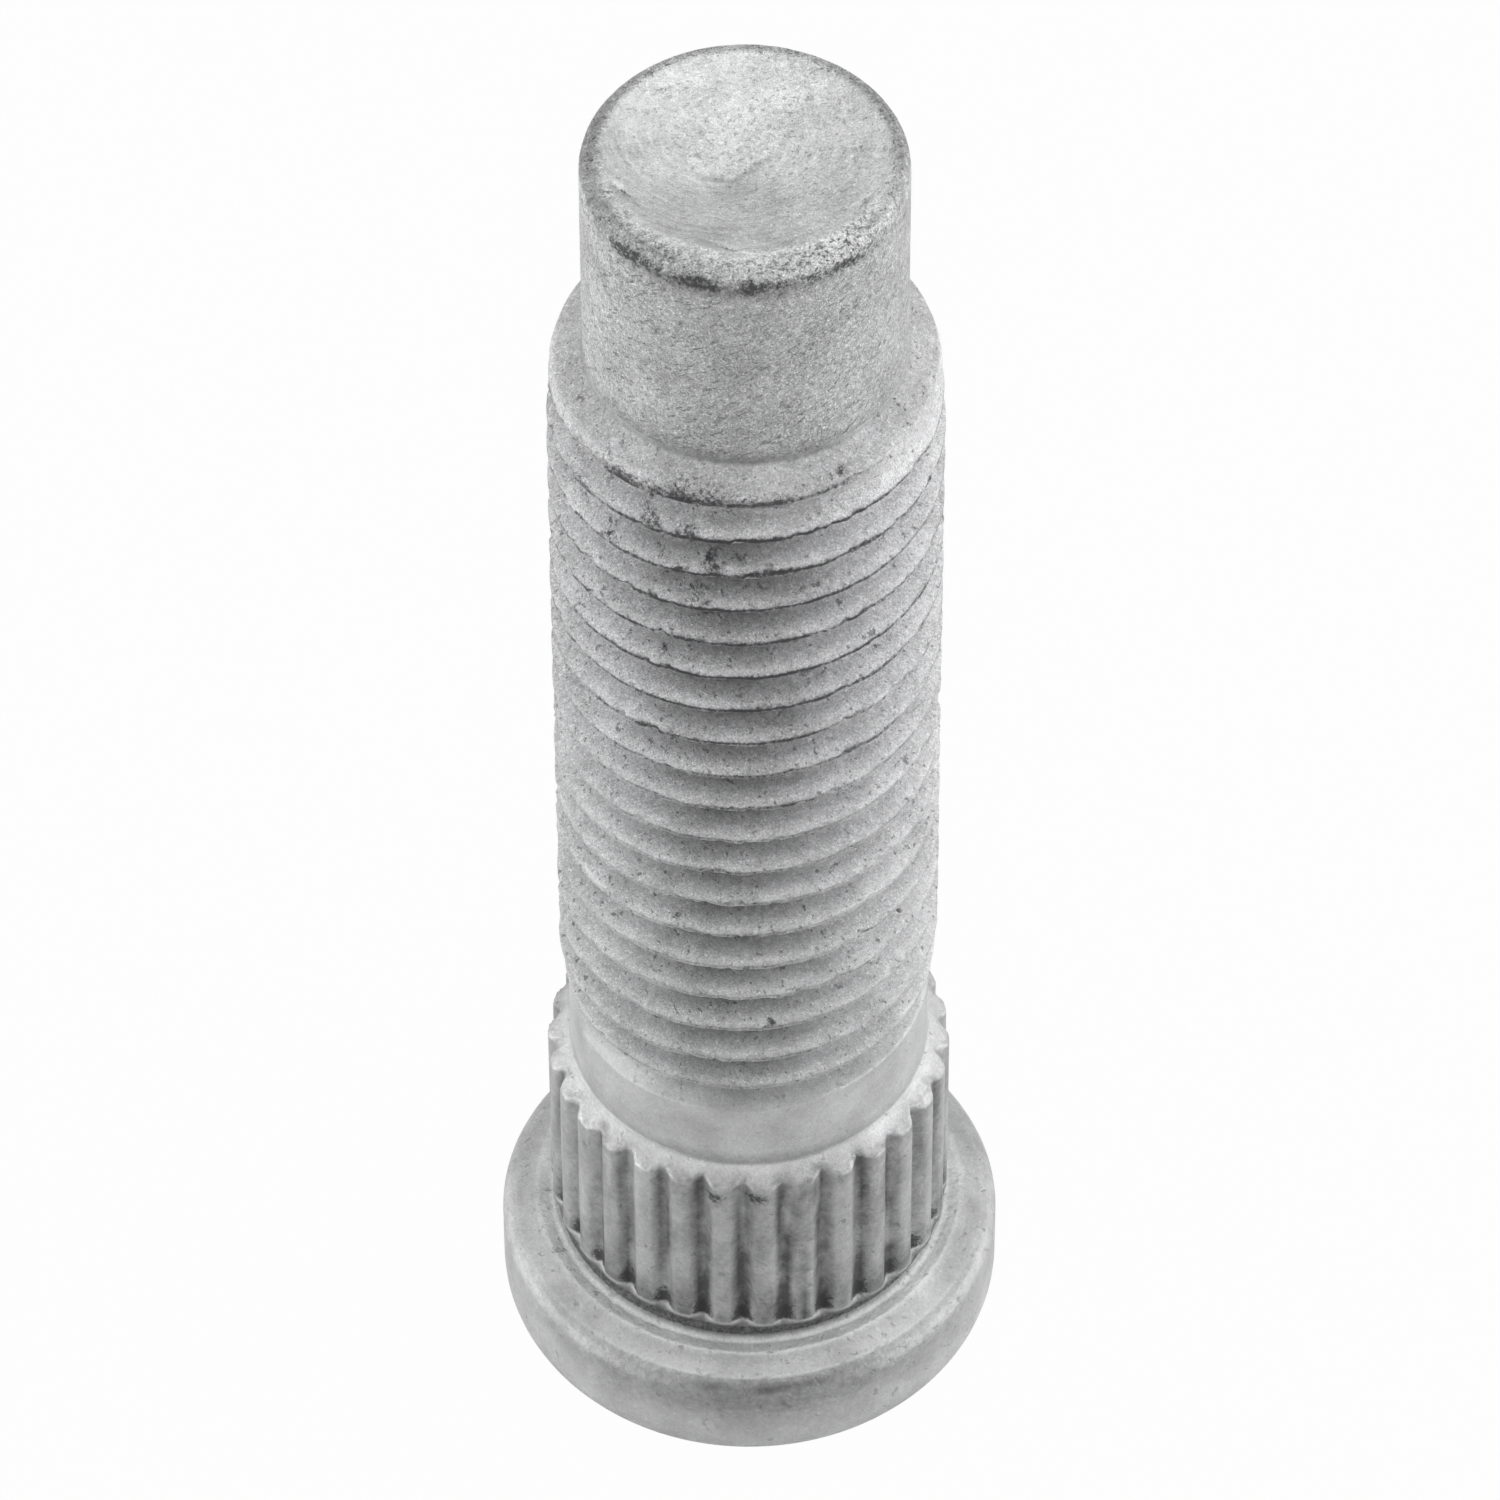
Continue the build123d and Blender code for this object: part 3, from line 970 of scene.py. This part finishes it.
def ragged_group():
    """Breaks up a smooth mask, so that grime, worn coating and painted shade and highlights have ragged
    edges.
    """
    sockets = {"Mask": 0.0, "Scale": 5000.0, "Break": 1.2, "Low": 0.25, "High": 0.75}
    tree, given, result = new_group("Ragged", sockets, ("Mask",))
    blotch = soft_noise(tree, object_place(tree), given["Scale"], detail=4.0, roughness=0.75)
    push = times(tree, maths(tree, "SUBTRACT", blotch, 0.5), given["Break"])
    pushed = plus(tree, given["Mask"], times(tree, push, remap(tree, given["Mask"], 0.0, 0.3)))
    feed(tree, result, {"Mask": remap(tree, pushed, given["Low"], given["High"])})
    return tree


def mottle_group():
    """Wide soft patches of lighter and darker coating."""
    tree, given, result = new_group("Mottle", {"Scale": 650.0}, ("Tone",))
    patch = soft_noise(tree, object_place(tree), given["Scale"])
    feed(tree, result, {"Tone": maths(tree, "SUBTRACT", patch, 0.5)})
    return tree


def tool_mark_group():
    """Fine light and dark streaks that sweep around a point near the dish's tongue."""
    tree, given, result = new_group("Tool marks", {"Spacing": 0.14, "Breaks": 2.5}, ("Tone",))
    flat = vector_maths(tree, "MULTIPLY", object_place(tree), (1.0, 1.0, 0.0))
    arm = vector_maths(tree, "SUBTRACT", flat, (-0.7 * MM, 1.6 * MM, 0.0))
    away = node(tree, "ShaderNodeVectorMath", {0: arm}, operation="LENGTH").outputs["Value"]
    heading = node(tree, "ShaderNodeVectorMath", {0: arm}, operation="NORMALIZE").outputs[0]
    outward = maths(tree, "DIVIDE", away, times(tree, given["Spacing"], MM))
    outward = node(tree, "ShaderNodeCombineXYZ", {"Z": outward}).outputs[0]
    around = {0: heading, "Scale": given["Breaks"]}
    around = node(tree, "ShaderNodeVectorMath", around, operation="SCALE").outputs[0]
    streaks = soft_noise(tree, vector_maths(tree, "ADD", around, outward), 1.0, roughness=0.6)
    feed(tree, result, {"Tone": maths(tree, "SUBTRACT", streaks, 0.5)})
    return tree


def stored_mask(tree, name):
    """One of the mesh's masks, as it is stored."""
    return node(tree, "ShaderNodeAttribute", attribute_name=name).outputs["Fac"]


def ragged_mask(tree, groups, name):
    """One of the mesh's masks with ragged edges."""
    low, high, tear, size = RAGGED_EDGES[name]
    sockets = {"Low": low, "High": high, "Break": tear, "Scale": 1 / (size * MM)}
    return place_group(tree, groups["ragged"], {"Mask": stored_mask(tree, name), **sockets})["Mask"]


def speck_mask(tree, groups, values):
    """Specks of one kind, given as their strength, size in millimetres, stretch, twist and level."""
    strength, size, stretch, twist, level = values
    sockets = {"Scale": 1 / (size * MM), "Stretch": stretch, "Twist": twist, "Level": level}
    return times(tree, place_group(tree, groups["specks"], sockets)["Mask"], strength)


def zone_grain(tree, groups, finish, coat, pale, swept):
    """The flake grain of one zone, calmer in the dish: its height and its tone."""
    contrast = remap(tree, pale, 0.0, 1.0, coat["plain_contrast"], coat["pale_contrast"])
    sockets = {
        "Scale": 1 / (finish.flake_size * coat["grain_size"]),
        "Contrast": times(tree, contrast, remap(tree, swept, 0.0, 1.0, 1.0, finish.dish_contrast)),
        "Depth": coat["grain_depth"],
        "Lumps": coat["lump_depth"],
    }
    grain = place_group(tree, groups["grain"], sockets)
    return grain["Height"], grain["Tone"]


def coated_steel(zone, groups, finish):
    """The coating on one zone of the stud, with its own grain, dark specks, scratches, bright flecks that are
    partly painted glints, and the painted shade and highlights of its masks.
    """
    coat = ZONE_COATS[zone]
    material, tree, shader = new_material(f"coated_{zone}")
    pale, swept, crumbly = (stored_mask(tree, name) for name in ("pale", "swept", "crumbly"))
    dirt, film, rubbed = (ragged_mask(tree, groups, name) for name in ("dirt", "film", "rubbed"))
    grain_height, grain_tone = zone_grain(tree, groups, finish, coat, pale, swept)
    bare = remap(tree, pale, 0.0, 0.6, coat["plain_relief"], 1.0)
    bare = times(tree, bare, remap(tree, swept, 0.0, 1.0, 1.0, finish.dish_relief))
    kinds = ("specks", "scratches", "flecks")
    specks, scratches, flecks = (speck_mask(tree, groups, coat[kind]) for kind in kinds)
    crumbs = times(tree, speck_mask(tree, groups, CRUMBS), crumbly)
    marks = times(tree, maths(tree, "MAXIMUM", specks, scratches), bare)
    marks = maths(tree, "MAXIMUM", marks, crumbs)
    # Bright flecks: raised bumps whose lighter colour is partly a painted glint
    bright = times(tree, flecks, bare)
    streaks = times(tree, place_group(tree, groups["tool marks"])["Tone"], swept)
    mottle = place_group(tree, groups["mottle"])["Tone"]

    tone = plus(tree, grain_tone, plus(tree, bright, 1.0))
    tone = weighted(tree, tone, (streaks, finish.streak_tone), (mottle, finish.mottle_tone))
    base = mix_colour(tree, pale, (*finish.plain_coat, 1), (*finish.thread_coat, 1))
    # Worn coating with painted highlights, then a grey layer with painted shade, then grime, specks and the
    # darkest painted shade
    base = mix_colour(tree, rubbed, base, (*finish.rubbed, 1))
    base = mix_colour(tree, 1.0, base, tone, "MULTIPLY")
    base = mix_colour(tree, film, base, (*finish.film, 1))
    soiled = maths(tree, "MAXIMUM", marks, times(tree, dirt, finish.dirt_cover))
    base = mix_colour(tree, soiled, base, (*finish.dirt, 1))
    rough = weighted(tree, finish.roughness, (grain_tone, finish.grain_shine), (dirt, finish.dirt_dullness))
    height = weighted(
        tree,
        times(tree, grain_height, bare),
        (marks, -finish.mark_depth),
        (bright, finish.fleck_height),
        (streaks, finish.streak_depth),
    )
    bump = node(tree, "ShaderNodeBump", {"Height": height, "Strength": 1.0, "Distance": MM})
    sockets = {
        "Base Color": base,
        "Metallic": weighted(tree, finish.metal, (swept, finish.dish_metal)),
        "Roughness": rough,
        "Specular IOR Level": finish.shine,
        "Specular Tint": (finish.edge_tint, finish.edge_tint, finish.edge_tint, 1),
        "Normal": bump.outputs["Normal"],
    }
    feed(tree, shader, sockets)
    return material


def stud_materials(finish):
    """One coating for each zone: the plain nose, the thread and the neck with the head."""
    groups = {
        "grain": flake_grain_group(),
        "specks": speck_group(),
        "ragged": ragged_group(),
        "mottle": mottle_group(),
        "tool marks": tool_mark_group(),
    }
    return [coated_steel(zone, groups, finish) for zone in ZONES]


class STUD_OT_coated_stud(bpy.types.Operator):
    """Builds the whole stud as one closed mesh with its thread, teeth, wear and coating"""

    bl_idname = "stud.coated_stud"
    bl_label = "Coated stud"

    def execute(self, context):
        form = StudForm(context.scene.stud_sizes)
        rings = build_stud_mesh(form)
        surface = StudSurface(form, np.array(rings.points))
        data = bpy.data.meshes.new("coated_stud")
        data.from_pydata(surface.worn(context.scene.stud_wear) * MM, [], rings.faces)
        data.polygons.foreach_set("material_index", rings.zones)
        data.polygons.foreach_set("use_smooth", [True] * len(rings.faces))
        for name in ("dirt", "film", "rubbed", "pale", "crumbly", "swept"):
            values = getattr(surface, name)().astype(np.float32)
            data.attributes.new(name, "FLOAT", "POINT").data.foreach_set("value", values)
        for material in stud_materials(context.scene.stud_finish):
            data.materials.append(material)
        if data.validate():
            raise RuntimeError("the stud's mesh has faces that don't hold together")
        stud = add_object("coated_stud", data)
        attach(stud, "root")
        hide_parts(NODE)
        return {"FINISHED"}


def direct_view(tree):
    """1 for rays from the camera and for what metal or glass shows, 0 for light that falls on things."""
    path = node(tree, "ShaderNodeLightPath").outputs
    seen = maths(tree, "MAXIMUM", path["Is Camera Ray"], path["Is Glossy Ray"])
    return maths(tree, "MAXIMUM", seen, path["Is Transmission Ray"])


def add_floor(settings):
    """A wide pale floor, which shows as white and keeps the stud's soft shadow."""
    half = settings.floor_size / 2
    data = bpy.data.meshes.new("floor")
    corners = [(-half, -half, 0), (half, -half, 0), (half, half, 0), (-half, half, 0)]
    data.from_pydata(corners, [], [(0, 1, 2, 3)])
    material, tree, shader = new_material("pale_floor")
    sockets = {"Base Color": (*settings.floor_colour, 1), "Roughness": 0.9, "Specular IOR Level": 0.0}
    feed(tree, shader, sockets)
    white = node(tree, "ShaderNodeEmission", {"Color": (1, 1, 1, 1), "Strength": 1.0})
    seen = times(tree, direct_view(tree), settings.floor_white)
    mixed = node(tree, "ShaderNodeMixShader", {0: seen, 1: shader.outputs[0], 2: white.outputs[0]})
    feed(tree, tree.nodes["Material Output"], {"Surface": mixed.outputs[0]})
    data.materials.append(material)
    floor = add_object("floor", data)


def add_surroundings(scene, settings):
    """White overhead, greyer low down and on the camera's side, with a faint fill light."""
    world = bpy.data.worlds.new("studio")
    world.use_nodes = True
    tree = world.node_tree
    place = node(tree, "ShaderNodeTexCoord").outputs["Generated"]
    direction = node(tree, "ShaderNodeSeparateXYZ", {"Vector": place}).outputs
    overhead = remap(tree, direction["Z"], 0.1, 0.85, 0.2, 1.0)
    behind = remap(tree, direction["Y"], -0.9, 0.0, 0.35, 1.0)
    shade = times(tree, overhead, behind)
    camera_ray = node(tree, "ShaderNodeLightPath").outputs["Is Camera Ray"]
    white = maths(tree, "MAXIMUM", shade, camera_ray)
    strength = mix_value(tree, direct_view(tree), times(tree, shade, settings.fill), white)
    feed(tree, tree.nodes["Background"], {"Color": (1, 1, 1, 1), "Strength": strength})
    scene.world = world


def add_softbox(name, power, place, width, height):
    """A softbox that faces the middle of the stud."""
    lamp = bpy.data.lights.new(name, "AREA")
    lamp.shape = "RECTANGLE"
    lamp.energy = power
    lamp.size = width
    lamp.size_y = height
    softbox = add_object(name, lamp)
    towards = Vector((0, 0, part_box(NODE)[1].z / 2)) - Vector(place)
    softbox.visible_camera = False
    softbox.matrix_world = Matrix.Translation(place) @ towards.to_track_quat("-Z", "Y").to_matrix().to_4x4()


def add_camera(scene, settings):
    """A long lens that looks down on the stud from the front."""
    data = bpy.data.cameras.new("camera")
    data.lens = settings.lens / MM
    data.sensor_width = 36
    data.shift_x = settings.camera_shift
    data.clip_start = 0.01
    data.clip_end = 20
    camera = add_object("camera", data)
    tilt = Matrix.Rotation(math.radians(90 - settings.camera_pitch), 4, "X")
    roll = Matrix.Rotation(math.radians(settings.camera_roll), 4, "Z")
    place = Matrix.Translation((0, -settings.camera_back, settings.camera_height))
    camera.matrix_world = place @ tilt @ roll
    scene.camera = camera


class STUD_OT_stage(bpy.types.Operator):
    """Builds the pale floor, the soft studio light and the camera"""

    bl_idname = "stud.stage"
    bl_label = "Stage"

    def execute(self, context):
        scene = context.scene
        settings = scene.stud_stage
        add_floor(settings)
        add_surroundings(scene, settings)
        for name, (power, *form) in SOFTBOXES.items():
            add_softbox(name, getattr(settings, power), *form)
        add_camera(scene, settings)
        scene.view_settings.view_transform = "Standard"
        return {"FINISHED"}


class STUD_PT_panel(bpy.types.Panel):
    """Lists the stud's pieces and the stage"""

    bl_label = "Wheel stud"
    bl_idname = "STUD_PT_panel"
    bl_space_type = "VIEW_3D"
    bl_region_type = "UI"
    bl_category = "Stud"

    def draw(self, context):
        for group, settings in GROUPS.items():
            for name in settings.__annotations__:
                self.layout.prop(getattr(context.scene, group), name)
        self.layout.operator(STUD_OT_coated_stud.bl_idname)
        self.layout.operator(STUD_OT_stage.bl_idname)


GROUPS = {
    "stud_sizes": StudSizes,
    "stud_wear": StudWear,
    "stud_finish": StudFinish,
    "stud_stage": StageSettings,
}
CLASSES = (*GROUPS.values(), STUD_OT_coated_stud, STUD_OT_stage, STUD_PT_panel)


def register():
    for cls in CLASSES:
        bpy.utils.register_class(cls)
    for name, group in GROUPS.items():
        setattr(bpy.types.Scene, name, PointerProperty(type=group))


def unregister():
    for name in GROUPS:
        delattr(bpy.types.Scene, name)
    for cls in reversed(CLASSES):
        bpy.utils.unregister_class(cls)


def main():
    """Registers the add-on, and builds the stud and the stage."""
    register()
    bpy.ops.stud.coated_stud()
    bpy.ops.stud.stage()


if __name__ == "__main__":
    main()
